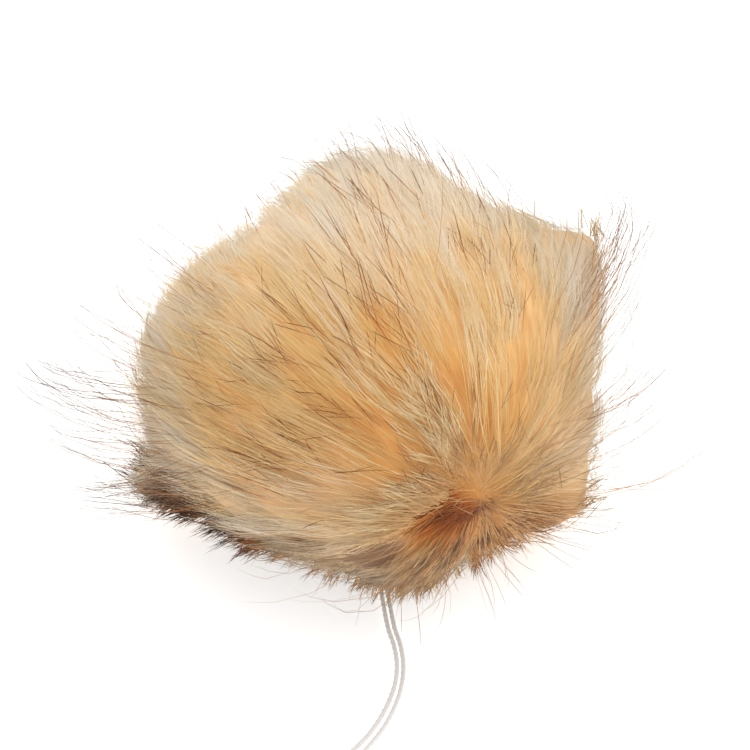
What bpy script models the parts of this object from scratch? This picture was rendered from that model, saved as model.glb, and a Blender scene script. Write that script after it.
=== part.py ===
"""Long-pile faux fur pom pom with two cotton ties, lying on a flat surface.

The origin is the middle of the flat spot that the ball rests on. +Z is up, and
the ties run out towards -Y. All sizes are in metres, all angles in degrees.
"""
import math
import random

import bmesh
import bpy
from mathutils import Quaternion, Vector
from mathutils.bvhtree import BVHTree

# Stuffed ball under the pile
BALL_RADIUS = 0.041
BALL_HALF_HEIGHT = 0.037
BALL_CENTRE = Vector((0.0, 0.0, 0.036))
BALL_SUBDIVISIONS = 3  # 320 faces, one lock to a face
FLAT_SPOT_ANGLE = 33.0  # from straight down to the rim of the flat spot
SKIN_UNEVENNESS = 0.0012

# Outer surface of the dense pile
PILE_RADIUS = 0.067
PILE_HALF_HEIGHT = 0.057
PILE_CENTRE_HEIGHT = 0.045
FLOOR_SOFTNESS = 0.0025  # how gently the lowest pile turns level on the floor

# Lay of the pile: it is combed away from a whorl low on the front
WHORL = Vector((0.545, -0.819, 0.184)).normalized()
LAY_ANGLE = 42.0  # how far round the ball a lock's tip lies from its root
CROWN_ANGLE = 50.0  # pile nearer the whorl than this stands up more and more
UPRIGHT_BELOW = -0.72  # root directions with a lower z have their locks straight out
LAY_SPREAD = 4.0
SWERVE_SPREAD = 5.0
REACH_SPREAD = 0.035

# Locks
LOCK_SEED = 12
LOCK_STEPS = (
    # share of its rise, share of its lay, width
    (0.36, 0.14, 1.25),
    (0.68, 0.42, 1.30),
    (0.90, 0.75, 0.80),
    (1.00, 1.00, 0.06),
)
FITTINGS = (
    # girth, share of its own looseness
    (1.00, 1.0),
    (0.90, 0.7),
    (0.80, 0.4),
    (0.70, 0.2),
    (0.60, 0.0),
    (0.50, 0.0),
    (0.40, 0.0),
    (0.30, 0.0),
)
COLLAR = 0.1  # above this share of its first step a lock stands clear of the skin
LOWEST_ROOT = 0.0030
LOCK_ROOM = 0.060  # locks whose middles lie further apart can't touch
BODY_LOCK_INSET = 0.0009
WISP_INSET = 0.0022
WISP_SHARE = 0.04
WISP_STRETCH = 1.1
LOWEST_LONG_LOCK = 0.027

# Swells and dents of the pile's outline, by bearing on a ring tilted back
OUTLINE_TILT = 38.0
OUTLINE_FORMS = (
    # name, bearing, swell, spread
    ("upper right corner", 29.0, 0.17, 14.0),
    ("right side", 0.0, 0.04, 14.0),
    ("shoulder dent", 60.0, -0.08, 13.0),
    ("top bump", 92.0, 0.06, 20.0),
    ("upper left notch", 126.0, -0.20, 13.0),
    ("left cheek", 186.0, 0.06, 18.0),
    ("lower left tuft", 205.0, 0.27, 6.5),
    ("under the left", 236.0, -0.12, 12.0),
    ("under the middle", 254.0, -0.13, 11.0),
    ("under the whorl", 286.0, 0.09, 13.0),
    ("under the right", 308.0, 0.04, 9.0),
    ("lower right corner", 326.0, 0.20, 10.0),
    ("right of the whorl", 342.0, 0.10, 12.0),
)

# Long wisps that stand out of the pile, by bearing on the same ring
WISPS = (
    # name, bearing, distance of the tip from the middle of the pile
    ("right", 348.0, 0.088),
    ("right middle", 4.0, 0.082),
    ("right high", 20.0, 0.084),
    ("upper right", 38.0, 0.088),
    ("top right", 66.0, 0.072),
    ("top", 86.0, 0.074),
    ("top left", 106.0, 0.074),
    ("upper left", 152.0, 0.078),
    ("left high", 164.0, 0.084),
    ("left", 180.0, 0.087),
    ("left low", 196.0, 0.085),
    ("lower left", 206.0, 0.088),
    ("under the left", 228.0, 0.080),
    ("bottom left", 248.0, 0.076),
    ("below the whorl", 284.0, 0.080),
    ("lower right", 304.0, 0.082),
    ("right low", 322.0, 0.084),
    ("right below", 334.0, 0.086),
)

# Cotton ties
TIE_DIAMETER = 0.0014
TIE_POINT_SPACING = 0.0036
FINE_STEPS = 24  # steps between two route points, from which the even points are read
TIE_PARTING = 0.0022  # pile is parted this far from a tie's middle line
TIE_A_ROUTE = (
    (0.0018, -0.0262, 0.0074),
    (0.0020, -0.0302, 0.0051),
    (0.0023, -0.0340, 0.0024),
    (0.0028, -0.0384, 0.0011),
    (0.0034, -0.0432, 0.0009),
    (0.0040, -0.0480, 0.0009),
    (0.0055, -0.0571, 0.0009),
    (0.0071, -0.0628, 0.0009),
    (0.0079, -0.0688, 0.0009),
    (0.0073, -0.0750, 0.0009),
    (0.0053, -0.0810, 0.0009),
    (0.0024, -0.0868, 0.0009),
    (-0.0012, -0.0918, 0.0009),
    (-0.0056, -0.0962, 0.0009),
    (-0.0108, -0.0998, 0.0009),
    (-0.0166, -0.1026, 0.0009),
    (-0.0228, -0.1042, 0.0009),
    (-0.0292, -0.1044, 0.0009),
    (-0.0352, -0.1030, 0.0009),
)
TIE_B_ROUTE = (
    (0.0044, -0.0257, 0.0078),
    (0.0045, -0.0298, 0.0054),
    (0.0046, -0.0338, 0.0026),
    (0.0048, -0.0383, 0.0011),
    (0.0052, -0.0432, 0.0009),
    (0.0058, -0.0480, 0.0009),
    (0.0073, -0.0569, 0.0009),
    (0.0089, -0.0626, 0.0009),
    (0.0097, -0.0688, 0.0009),
    (0.0091, -0.0755, 0.0009),
    (0.0071, -0.0821, 0.0009),
    (0.0041, -0.0882, 0.0009),
    (0.0002, -0.0936, 0.0009),
    (-0.0042, -0.0986, 0.0009),
    (-0.0090, -0.1030, 0.0009),
    (-0.0142, -0.1072, 0.0009),
    (-0.0190, -0.1118, 0.0009),
    (-0.0228, -0.1170, 0.0009),
    (-0.0254, -0.1228, 0.0009),
)


def clear_scene():
    for thing in list(bpy.data.objects):
        bpy.data.objects.remove(thing, do_unlink=True)


def make_material(name, colour, roughness):
    material = bpy.data.materials.new(name)
    material.use_nodes = True
    shader = material.node_tree.nodes["Principled BSDF"]
    shader.inputs["Base Color"].default_value = (*colour, 1.0)
    shader.inputs["Roughness"].default_value = roughness
    shader.inputs["Metallic"].default_value = 0.0
    return material


def ring_direction(bearing):
    """The direction of a bearing on the outline ring, which is tilted back from upright."""
    turn = math.radians(bearing)
    tilt = math.radians(OUTLINE_TILT)
    rise = math.sin(turn)
    return Vector((math.cos(turn), rise * math.cos(tilt), rise * math.sin(tilt)))


def skin_point(direction):
    """The point of the stuffed ball's skin in this direction from its middle."""
    flat = math.hypot(direction.x, direction.y) / BALL_RADIUS
    upright = direction.z / BALL_HALF_HEIGHT
    return BALL_CENTRE + direction / math.hypot(flat, upright)


def outline_swell(direction):
    swell = 0.0
    for _name, bearing, height, spread in OUTLINE_FORMS:
        apart = math.degrees(ring_direction(bearing).angle(direction))
        swell += height * math.exp(-0.5 * (apart / spread) ** 2)
    return 1.0 + swell


def pile_distance(direction):
    """How far the dense pile reaches from the ball's middle in this direction."""
    drop = BALL_CENTRE.z - PILE_CENTRE_HEIGHT
    flat = 1.0 / PILE_RADIUS ** 2
    upright = 1.0 / PILE_HALF_HEIGHT ** 2
    a = flat * (direction.x ** 2 + direction.y ** 2) + upright * direction.z ** 2
    b = 2.0 * upright * drop * direction.z
    c = upright * drop ** 2 - 1.0
    distance = (-b + math.sqrt(b * b - 4.0 * a * c)) / (2.0 * a)
    return distance * outline_swell(direction)


def press_on_floor(point):
    """Turns what would hang under the floor level on it, in the same order of heights."""
    return 0.5 * (point.z + math.hypot(point.z, FLOOR_SOFTNESS))


def ease(value):
    value = min(1.0, max(0.0, value))
    return value * value * (3.0 - 2.0 * value)


def comb_angle(direction):
    """How far a lock rooted in this direction is laid over, away from the whorl."""
    apart = WHORL.angle(direction)
    crown = min(1.0, apart / math.radians(CROWN_ANGLE))
    low = ease((direction.z - UPRIGHT_BELOW) / -UPRIGHT_BELOW)
    return math.radians(LAY_ANGLE) * crown * math.cos(apart / 2.0) * low


def smooth_route(route, spacing):
    """Even points along a smooth curve through the route's own points."""
    knots = [Vector(point) for point in route]
    knots = [2.0 * knots[0] - knots[1]] + knots + [2.0 * knots[-1] - knots[-2]]
    fine = []
    for before, start, end, after in zip(knots, knots[1:], knots[2:], knots[3:]):
        for step in range(FINE_STEPS):
            t = step / FINE_STEPS
            fine.append(
                0.5 * (2.0 * start + (end - before) * t
                       + (2.0 * before - 5.0 * start + 4.0 * end - after) * t ** 2
                       + (3.0 * start - before - 3.0 * end + after) * t ** 3)
            )
    fine.append(knots[-2])
    travelled = [0.0]
    for here, there in zip(fine, fine[1:]):
        travelled.append(travelled[-1] + (there - here).length)
    count = round(travelled[-1] / spacing)
    points = []
    place = 0
    for index in range(count + 1):
        target = travelled[-1] * index / count
        while place < len(fine) - 2 and travelled[place + 1] < target:
            place += 1
        span = travelled[place + 1] - travelled[place]
        points.append(fine[place].lerp(fine[place + 1], (target - travelled[place]) / span))
    return points


def lock_rings(lock, offsets, girth, looseness):
    """The corners of each ring of a lock, from its root to its tip."""
    out = lock.root - BALL_CENTRE
    direction = out.normalized()
    turn = comb_angle(direction) + lock.extra_turn * looseness
    axis = Quaternion(direction, lock.swerve * looseness) @ WHORL.cross(direction).normalized()
    tip = Quaternion(axis, turn) @ direction
    reach = lock.reach or pile_distance(tip) * lock.stretch
    rings = [[lock.root + offset for offset in offsets]]
    for rise, lay, width in LOCK_STEPS:
        bend = Quaternion(axis, turn * lay)
        distance = out.length + (reach - out.length) * rise
        middle = BALL_CENTRE + (bend @ direction) * distance
        ring = [middle + (bend @ offset) * width * girth for offset in offsets]
        for corner in ring:
            corner.z = press_on_floor(corner)
        rings.append(ring)
    return rings


def ring_tree(rings):
    """The sides and the tip of a lock, for finding what it would run into."""
    corners = [corner for ring in rings for corner in ring]
    sides = len(rings[0])
    faces = []
    for step in range(len(rings) - 1):
        for side in range(sides):
            a = step * sides + side
            b = step * sides + (side + 1) % sides
            faces += [(a, b, b + sides), (a, b + sides, a + sides)]
    return BVHTree.FromPolygons(corners, faces)


def fit_lock(lock, offsets, skin, neighbours, tie_points):
    """The fullest form of a lock that stands clear of the skin, its neighbours and the ties."""
    for girth, looseness in FITTINGS:
        rings = lock_rings(lock, offsets, girth, looseness)
        tree = ring_tree(rings)
        middle = sum(rings[2], Vector()) / len(offsets)
        if min(tree.find_nearest(point)[3] for point in tie_points) < TIE_PARTING:
            return None
        collar = [low.lerp(high, COLLAR) for low, high in zip(rings[0], rings[1])]
        if ring_tree([collar] + rings[1:]).overlap(skin):
            continue
        near = [other for place, other in neighbours if (place - middle).length < LOCK_ROOM]
        if any(tree.overlap(other) for other in near):
            continue
        neighbours.append((middle, tree))
        return rings
    return None


def choose_wisps(locks):
    """Gives the lock whose tip lies nearest each named wisp that wisp's reach."""
    middle = Vector((0.0, 0.0, PILE_CENTRE_HEIGHT))
    for _name, bearing, distance in WISPS:
        goal = middle + ring_direction(bearing) * distance - BALL_CENTRE
        free = [lock for lock in locks if lock.reach is None]
        nearest = min(free, key=lambda lock: lock.tip_direction().angle(goal))
        nearest.reach = goal.length
        nearest.inset = WISP_INSET


class Lock:
    """Where a lock is rooted, and how it differs from the even lay of the pile."""

    def __init__(self, face, chance):
        self.face = face
        self.root = face.calc_center_median()
        self.swerve = math.radians(chance.gauss(0.0, SWERVE_SPREAD))
        self.extra_turn = math.radians(chance.gauss(0.0, LAY_SPREAD))
        self.stretch = 1.0 + chance.gauss(0.0, REACH_SPREAD)
        self.inset = BODY_LOCK_INSET
        self.reach = None
        if chance.random() < WISP_SHARE and self.root.z > LOWEST_LONG_LOCK:
            self.stretch *= WISP_STRETCH
            self.inset = WISP_INSET

    def tip_direction(self):
        direction = (self.root - BALL_CENTRE).normalized()
        return Quaternion(WHORL.cross(direction), comb_angle(direction)) @ direction


def make_skin(chance):
    """The stuffed ball, pressed flat where it rests."""
    skin = bmesh.new()
    bmesh.ops.create_icosphere(skin, subdivisions=BALL_SUBDIVISIONS, radius=1.0)
    flat_spot = math.cos(math.radians(FLAT_SPOT_ANGLE))
    for vert in skin.verts:
        direction = vert.co.normalized()
        shift = Vector([chance.uniform(-1.0, 1.0) for _axis in range(3)]) * SKIN_UNEVENNESS
        if -direction.z > flat_spot:
            vert.co = skin_point(direction)
            vert.co.z = 0.0
        else:
            vert.co = skin_point(direction) + shift
            vert.co.z = press_on_floor(vert.co)
    return skin


def make_pompom(collection, material, tie_points):
    chance = random.Random(LOCK_SEED)
    body = make_skin(chance)
    skin = BVHTree.FromBMesh(body)
    locks = [
        Lock(face, chance) for face in body.faces
        if face.calc_center_median().z > LOWEST_ROOT
    ]
    choose_wisps(locks)
    locks.sort(key=lambda lock: lock.inset, reverse=True)

    # Each lock is inset in its own face and drawn out ring by ring
    neighbours = []
    for lock in locks:
        corners = [vert.co.copy() for vert in lock.face.verts]
        inradius = 2.0 * lock.face.calc_area() / sum(edge.calc_length() for edge in lock.face.edges)
        shrink = 1.0 - lock.inset / inradius
        offsets = [(corner - lock.root) * shrink for corner in corners]
        rings = fit_lock(lock, offsets, skin, neighbours, tie_points)
        if rings is None:
            continue
        bmesh.ops.inset_individual(body, faces=[lock.face], thickness=lock.inset, depth=0.0)
        top = lock.face
        for vert, corner in zip(top.verts, rings[0]):
            vert.co = corner
        for ring in rings[1:]:
            top = bmesh.ops.extrude_discrete_faces(body, faces=[top])["faces"][0]
            for vert, corner in zip(top.verts, ring):
                vert.co = corner
    bmesh.ops.triangulate(body, faces=body.faces[:])

    mesh = bpy.data.meshes.new("pompom")
    body.to_mesh(mesh)
    body.free()
    mesh.materials.append(material)
    pompom = bpy.data.objects.new("pompom", mesh)
    collection.objects.link(pompom)
    print(len(neighbours), "locks", len(mesh.polygons), "triangles")
    return pompom


def make_tie(name, points, collection, material):
    curve = bpy.data.curves.new(name, "CURVE")
    curve.dimensions = "3D"
    curve.bevel_depth = TIE_DIAMETER / 2.0
    curve.bevel_resolution = 2
    curve.use_fill_caps = True
    spline = curve.splines.new("POLY")
    spline.points.add(len(points) - 1)
    for spot, point in zip(spline.points, points):
        spot.co = (*point, 1.0)
    curve.materials.append(material)
    tie = bpy.data.objects.new(name, curve)
    collection.objects.link(tie)
    return tie


def main():
    clear_scene()
    collection = bpy.data.collections.new("pom_pom")
    bpy.context.scene.collection.children.link(collection)
    fur = make_material("long_pile_fur", (0.64, 0.42, 0.21), 0.85)
    cotton = make_material("cotton_tie", (0.78, 0.75, 0.68), 0.9)
    route_a = smooth_route(TIE_A_ROUTE, TIE_POINT_SPACING)
    route_b = smooth_route(TIE_B_ROUTE, TIE_POINT_SPACING)
    make_pompom(collection, fur, route_a + route_b)
    make_tie("tie_a", route_a, collection, cotton)
    make_tie("tie_b", route_b, collection, cotton)


main()
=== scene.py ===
"""Looks of the faux fur pom pom: combed pile, dark guard hairs and two cotton ties."""
import math

import bpy
import numpy as np
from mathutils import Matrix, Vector


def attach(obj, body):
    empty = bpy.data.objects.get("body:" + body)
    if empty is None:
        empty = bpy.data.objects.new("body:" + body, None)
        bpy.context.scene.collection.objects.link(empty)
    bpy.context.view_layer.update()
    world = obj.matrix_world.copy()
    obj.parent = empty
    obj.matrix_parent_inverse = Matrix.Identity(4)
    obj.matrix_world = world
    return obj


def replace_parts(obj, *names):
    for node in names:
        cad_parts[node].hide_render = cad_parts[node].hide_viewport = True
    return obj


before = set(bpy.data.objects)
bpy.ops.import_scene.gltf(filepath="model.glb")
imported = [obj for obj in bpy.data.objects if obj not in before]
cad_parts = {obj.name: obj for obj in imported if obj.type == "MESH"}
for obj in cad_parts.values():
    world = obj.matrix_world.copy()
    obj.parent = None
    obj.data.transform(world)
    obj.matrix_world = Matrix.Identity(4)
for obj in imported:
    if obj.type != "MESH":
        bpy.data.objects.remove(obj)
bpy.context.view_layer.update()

# Stuffed ball and pile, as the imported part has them, in metres
BALL_RADIUS = 0.041
BALL_HALF_HEIGHT = 0.037
BALL_CENTRE = np.array((0.0, 0.0, 0.036))
PILE_RADIUS = 0.067
PILE_HALF_HEIGHT = 0.057
PILE_CENTRE_HEIGHT = 0.045
FLOOR_SOFTNESS = 0.0025
WHORL = np.array((0.545, -0.819, 0.184)) / math.sqrt(0.545 ** 2 + 0.819 ** 2 + 0.184 ** 2)
LAY_ANGLE = 42.0
UPRIGHT_BELOW = -0.50
OUTLINE_TILT = 38.0

# Swells of the outline, by bearing on the tilted ring
OUTLINE_FORMS = (
    # name, bearing, swell, spread
    ("upper right corner", 29.0, 0.17, 14.0),
    ("right side", 0.0, 0.04, 14.0),
    ("shoulder dent", 60.0, -0.08, 13.0),
    ("top bump", 92.0, 0.06, 20.0),
    ("upper left notch", 126.0, -0.20, 13.0),
    ("left cheek", 186.0, 0.06, 18.0),
    ("lower left tuft", 205.0, 0.27, 6.5),
    ("under the left", 236.0, -0.12, 12.0),
    ("under the middle", 254.0, -0.13, 11.0),
    ("under the whorl", 286.0, 0.09, 13.0),
    ("under the right", 308.0, 0.04, 9.0),
    ("lower right corner", 326.0, 0.20, 10.0),
    ("right of the whorl", 342.0, 0.10, 12.0),
)

# The whorl is pinched up to the pile's own height and the pile lies flat round it
SCENE_CROWN = 7.0
WHORL_RISE = 0.36
WHORL_RISE_SPREAD = 13.0
WHORL_COVER = 16.0

# Places on the ball's face as the photograph sees it: right and up from the pile's middle, over its radius
RELIEF = (
    # name, right, up, depth, swell, spread in degrees
    ("hollow under the whorl", 0.33, -0.66, 0.93, -0.17, 6.5),
    ("lip over the hollow", 0.16, -0.52, 0.93, 0.05, 7.0),
    ("left lobe", -0.62, -0.05, 0.93, 0.03, 14.0),
    ("fold left of the middle", -0.22, -0.30, 0.93, -0.02, 8.0),
    ("crest", -0.10, 0.72, 0.93, 0.02, 10.0),
    ("bottom tuft", 0.20, -1.0, 0.93, 0.06, 10.0),
    ("lower right corner", 0.98, -0.62, 0.93, 0.08, 5.0),
    ("upper right corner", 0.97, 0.56, 0.93, 0.10, 4.5),
)
HOLLOW = (0.33, -0.66, 0.93)
HOLLOW_WIDTH = 8.0
FACE_DEPTH = 0.93

# Places in the next three tables lie on the face that the photograph shows, 1 from its middle to its rim
TONES = (
    # name, right, up, tone, spread in degrees
    ("top", -0.10, 0.76, 0.44, 18.0),
    ("top left", -0.34, 0.66, 0.46, 12.0),
    ("upper middle", 0.10, 0.50, 0.53, 12.0),
    ("upper streak", 0.50, 0.40, 0.62, 9.0),
    ("upper right", 0.70, 0.54, 0.52, 10.0),
    ("upper left", -0.48, 0.40, 0.53, 14.0),
    ("left shoulder", -0.66, 0.20, 0.57, 12.0),
    ("left", -0.84, -0.06, 0.51, 11.0),
    ("left lobe", -0.56, -0.08, 0.60, 12.0),
    ("low left", -0.82, -0.34, 0.50, 9.0),
    ("centre left", -0.28, 0.02, 0.60, 14.0),
    ("under the centre", -0.36, -0.40, 0.52, 10.0),
    ("middle", 0.05, 0.05, 0.60, 12.0),
    ("middle under", 0.06, -0.28, 0.62, 9.0),
    ("pale ridge", 0.30, -0.24, 0.53, 4.5),
    ("above the whorl", 0.50, -0.24, 0.74, 6.0),
    ("orange left of the ridge", 0.09, -0.18, 0.74, 3.0),
    ("orange right of the ridge", 0.36, -0.05, 0.72, 4.0),
    ("orange above the middle", 0.05, 0.18, 0.70, 3.5),
    ("whorl", 0.50, -0.47, 0.56, 5.0),
    ("middle right", 0.38, 0.16, 0.58, 9.0),
    ("right orange", 0.62, 0.10, 0.60, 9.0),
    ("right", 0.68, -0.16, 0.59, 12.0),
    ("right edge", 0.92, 0.10, 0.51, 12.0),
    ("lower right", 0.84, -0.34, 0.50, 9.0),
    ("right of the hollow", 0.66, -0.60, 0.58, 7.0),
    ("lower right corner", 0.90, -0.60, 0.52, 8.0),
    # The dark rust in the hollow and the greyer, browner tones along the bottom, in the rows below, are
    # partly the fur's own colour and partly painted shade
    ("hollow", 0.33, -0.66, 0.95, 5.0),
    ("under the hollow", 0.26, -0.86, 0.50, 7.0),
    ("under the left", -0.26, -0.80, 0.36, 8.0),
    ("bottom", -0.10, -0.70, 0.50, 11.0),
    ("bottom rim", 0.14, -0.93, 0.24, 7.0),
    ("left rim", -0.52, -0.74, 0.30, 6.0),
    ("fringe start", -0.92, -0.56, 0.16, 3.5),
    ("dark fringe", -0.70, -0.65, 0.05, 4.5),
    ("back", 0.0, 1.0, 0.51, 40.0),
)
# Shade painted into the pile's colour, deepest in the hollow under the whorl, on the underside and along
# the low rim
PAINTED_SHADES = (
    # name, right, up, painted shade, spread in degrees
    ("hollow", 0.33, -0.66, 0.26, 5.0),
    ("beside the hollow", 0.50, -0.63, 0.40, 4.5),
    ("middle", 0.16, 0.04, 0.08, 18.0),
    ("right of the hollow", 0.66, -0.66, 0.50, 8.0),
    ("left of the hollow", 0.04, -0.60, 0.26, 9.0),
    ("under the hollow", 0.31, -0.82, 0.80, 6.5),
    ("bottom", 0.03, -0.81, 0.73, 7.5),
    ("under the left", -0.26, -0.79, 0.60, 7.5),
    ("left rim", -0.48, -0.74, 0.56, 7.0),
    ("dark fringe", -0.70, -0.66, 0.50, 5.0),
    ("fringe start", -0.92, -0.54, 0.25, 3.5),
    ("lower left", -0.30, -0.52, 0.20, 12.0),
    ("right of the bottom", 0.53, -0.76, 0.78, 5.0),
    ("parting left of the whorl", 0.14, -0.40, 0.16, 7.0),
    ("middle under", -0.06, -0.34, 0.14, 9.0),
)
SWERVES = (
    # name, right, up, turn to the left seen from outside, spread in degrees
    ("right of the hollow", 0.66, -0.64, 44.0, 10.0),
    ("left", -1.0, -0.12, 14.0, 16.0),
    ("low left rim", -0.84, -0.58, 38.0, 8.0),
    ("above the middle", 0.10, 0.30, -8.0, 16.0),
)
# The underside is painted greyer and darker: its tone is partly the fur's own grey-brown and partly painted
# shade, and the darkening is painted shade
UNDERSIDE_TONE = 0.16
UNDERSIDE_PAINTED_SHADE = 0.45
UNDERSIDE_BELOW = -0.58

# Colours as they look on a screen: tone, painted shade, root, body, tip
PILE_PALETTE = (
    (0.0, (70, 54, 44), (96, 78, 64), (142, 124, 106), (150, 132, 116)),
    (0.28, (96, 76, 60), (156, 130, 104), (202, 180, 152), (222, 204, 182)),
    (0.45, (146, 110, 80), (238, 200, 152), (255, 236, 208), (255, 244, 226)),
    (0.60, (138, 94, 58), (230, 164, 94), (252, 206, 130), (255, 220, 158)),
    (0.80, (120, 68, 38), (210, 118, 54), (240, 160, 82), (248, 190, 120)),
    (1.0, (62, 30, 18), (92, 44, 26), (140, 76, 44), (174, 112, 72)),
)
GUARD_PALETTE = (
    (0.0, (226, 180, 124), (226, 180, 124), (255, 222, 166), (255, 230, 186)),
    (0.2, (210, 166, 118), (210, 166, 118), (206, 168, 126), (184, 150, 116)),
    (0.6, (200, 138, 84), (200, 138, 84), (158, 98, 56), (118, 74, 46)),
    (0.8, (180, 120, 74), (180, 120, 74), (120, 76, 48), (88, 60, 44)),
    (1.0, (140, 104, 78), (140, 104, 78), (82, 64, 54), (52, 44, 40)),
)

# Camera of the photograph: from the front, high up, with a long lens
VIEW_ELEVATION = math.radians(52.0)
VIEW_DISTANCE = 0.578
VIEW_TARGET = Vector((0.00194, 0.0, 0.041))
LENS = 100.0

# Cotton ties
TIE_A_ROUTE = (
    (0.0018, -0.0262, 0.0074),
    (0.0020, -0.0302, 0.0051),
    (0.0023, -0.0340, 0.0024),
    (0.0028, -0.0384, 0.0011),
    (0.0034, -0.0432, 0.0009),
    (0.0040, -0.0480, 0.0009),
    (0.0055, -0.0571, 0.0009),
    (0.0071, -0.0628, 0.0009),
    (0.0079, -0.0688, 0.0009),
    (0.0073, -0.0750, 0.0009),
    (0.0053, -0.0810, 0.0009),
    (0.0024, -0.0868, 0.0009),
    (-0.0012, -0.0918, 0.0009),
    (-0.0056, -0.0962, 0.0009),
    (-0.0108, -0.0998, 0.0009),
    (-0.0166, -0.1026, 0.0009),
    (-0.0228, -0.1042, 0.0009),
    (-0.0292, -0.1044, 0.0009),
    (-0.0352, -0.1030, 0.0009),
)
TIE_B_ROUTE = (
    (0.0044, -0.0257, 0.0078),
    (0.0045, -0.0298, 0.0054),
    (0.0046, -0.0338, 0.0026),
    (0.0048, -0.0383, 0.0011),
    (0.0052, -0.0432, 0.0009),
    (0.0058, -0.0480, 0.0009),
    (0.0073, -0.0569, 0.0009),
    (0.0089, -0.0626, 0.0009),
    (0.0097, -0.0688, 0.0009),
    (0.0091, -0.0755, 0.0009),
    (0.0071, -0.0821, 0.0009),
    (0.0041, -0.0882, 0.0009),
    (0.0002, -0.0936, 0.0009),
    (-0.0042, -0.0986, 0.0009),
    (-0.0090, -0.1030, 0.0009),
    (-0.0142, -0.1072, 0.0009),
    (-0.0190, -0.1118, 0.0009),
    (-0.0228, -0.1170, 0.0009),
    (-0.0254, -0.1228, 0.0009),
)
TIE_PLIES = 2
PLY_RADIUS = 0.00055
PLY_OFFSET = 0.00015
TWIST_PITCH = 0.0036
PLY_SIDES = 7
PLY_END_SHARE = 0.8
TIE_STEP = 0.0004
ROUTE_PARTS = 24


def unit(vectors):
    return vectors / np.linalg.norm(vectors, axis=-1, keepdims=True)


def linear(red, green, blue):
    """A colour given as it looks on a screen, from 0 to 255, for a shader."""
    shares = [value / 255.0 for value in (red, green, blue)]
    return tuple(s / 12.92 if s <= 0.04045 else ((s + 0.055) / 1.055) ** 2.4 for s in shares)


# Camera

def make_camera():
    data = bpy.data.cameras.new("photo_camera")
    data.lens = LENS
    data.clip_start = 0.01
    camera = bpy.data.objects.new("photo_camera", data)
    bpy.context.scene.collection.objects.link(camera)
    away = Vector((0.0, -math.cos(VIEW_ELEVATION), math.sin(VIEW_ELEVATION)))
    camera.location = VIEW_TARGET + away * VIEW_DISTANCE
    camera.rotation_euler = (-away).to_track_quat("-Z", "Y").to_euler()
    bpy.context.scene.camera = camera


# Shapes of the pile

def ring_direction(bearing):
    turn = math.radians(bearing)
    tilt = math.radians(OUTLINE_TILT)
    rise = math.sin(turn)
    return np.array((math.cos(turn), rise * math.cos(tilt), rise * math.sin(tilt)))


def face_direction(right, up, depth=FACE_DEPTH):
    """The direction, from the ball's middle, of a place on the pile as the photograph sees it."""
    rise = np.array((0.0, math.sin(VIEW_ELEVATION), math.cos(VIEW_ELEVATION)))
    view = np.array((0.0, -math.cos(VIEW_ELEVATION), math.sin(VIEW_ELEVATION)))
    shape = np.array((1.0, 1.0, PILE_RADIUS / PILE_HALF_HEIGHT))
    spot = (np.array((right, 0.0, 0.0)) + up * rise) * shape / depth
    toward = view * shape
    a = toward @ toward
    b = 2.0 * (spot @ toward)
    c = spot @ spot - 1.0
    along = (-b + math.sqrt(max(0.0, b * b - 4.0 * a * c))) / (2.0 * a)
    point = (spot + along * toward) / shape * PILE_RADIUS * depth
    return unit(point + (0.0, 0.0, PILE_CENTRE_HEIGHT - BALL_CENTRE[2]))


def guard_direction(right, up):
    """As face_direction, and past the top of the face it goes on over the back."""
    if up <= 1.0:
        return face_direction(right, up)
    return unit(np.array((right, up, 0.35)))


def nearness(directions, centre, spread):
    """1 at the centre, fading to 0 over the spread, in degrees."""
    apart = np.degrees(np.arccos(np.clip(directions @ centre, -1.0, 1.0)))
    return np.exp(-0.5 * (apart / spread) ** 2)


def skin_distance(directions):
    flat = np.hypot(directions[:, 0], directions[:, 1]) / BALL_RADIUS
    rise = 1.0 + WHORL_RISE * nearness(directions, WHORL, WHORL_RISE_SPREAD)
    return rise / np.hypot(flat, directions[:, 2] / BALL_HALF_HEIGHT)


def pile_distance(directions):
    """How far the dense pile reaches from the ball's middle in each direction."""
    drop = BALL_CENTRE[2] - PILE_CENTRE_HEIGHT
    flat = 1.0 / PILE_RADIUS ** 2
    upright = 1.0 / PILE_HALF_HEIGHT ** 2
    z = directions[:, 2]
    a = flat * (directions[:, 0] ** 2 + directions[:, 1] ** 2) + upright * z ** 2
    b = 2.0 * upright * drop * z
    c = upright * drop ** 2 - 1.0
    swell = np.ones(len(directions))
    for _name, bearing, height, spread in OUTLINE_FORMS:
        swell += height * nearness(directions, ring_direction(bearing), spread)
    for _name, right, up, depth, height, spread in RELIEF:
        swell += height * nearness(directions, face_direction(right, up, depth), spread)
    return swell * (-b + np.sqrt(b * b - 4.0 * a * c)) / (2.0 * a)


def press_on_floor(height):
    return 0.5 * (height + np.hypot(height, FLOOR_SOFTNESS))


def ease(values):
    values = np.clip(values, 0.0, 1.0)
    return values * values * (3.0 - 2.0 * values)


def turned(vectors, axes, angles):
    """Vectors turned about unit axes."""
    cos = np.cos(angles)[:, None]
    sin = np.sin(angles)[:, None]
    along = (axes * vectors).sum(1)[:, None] * axes
    return vectors * cos + np.cross(axes, vectors) * sin + along * (1.0 - cos)


def comb_angles(directions):
    apart = np.arccos(np.clip(directions @ WHORL, -1.0, 1.0))
    crown = np.minimum(1.0, apart / math.radians(SCENE_CROWN))
    low = ease((directions[:, 2] - UPRIGHT_BELOW) / -UPRIGHT_BELOW)
    return math.radians(LAY_ANGLE) * crown * np.cos(apart / 2.0) * low


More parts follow.
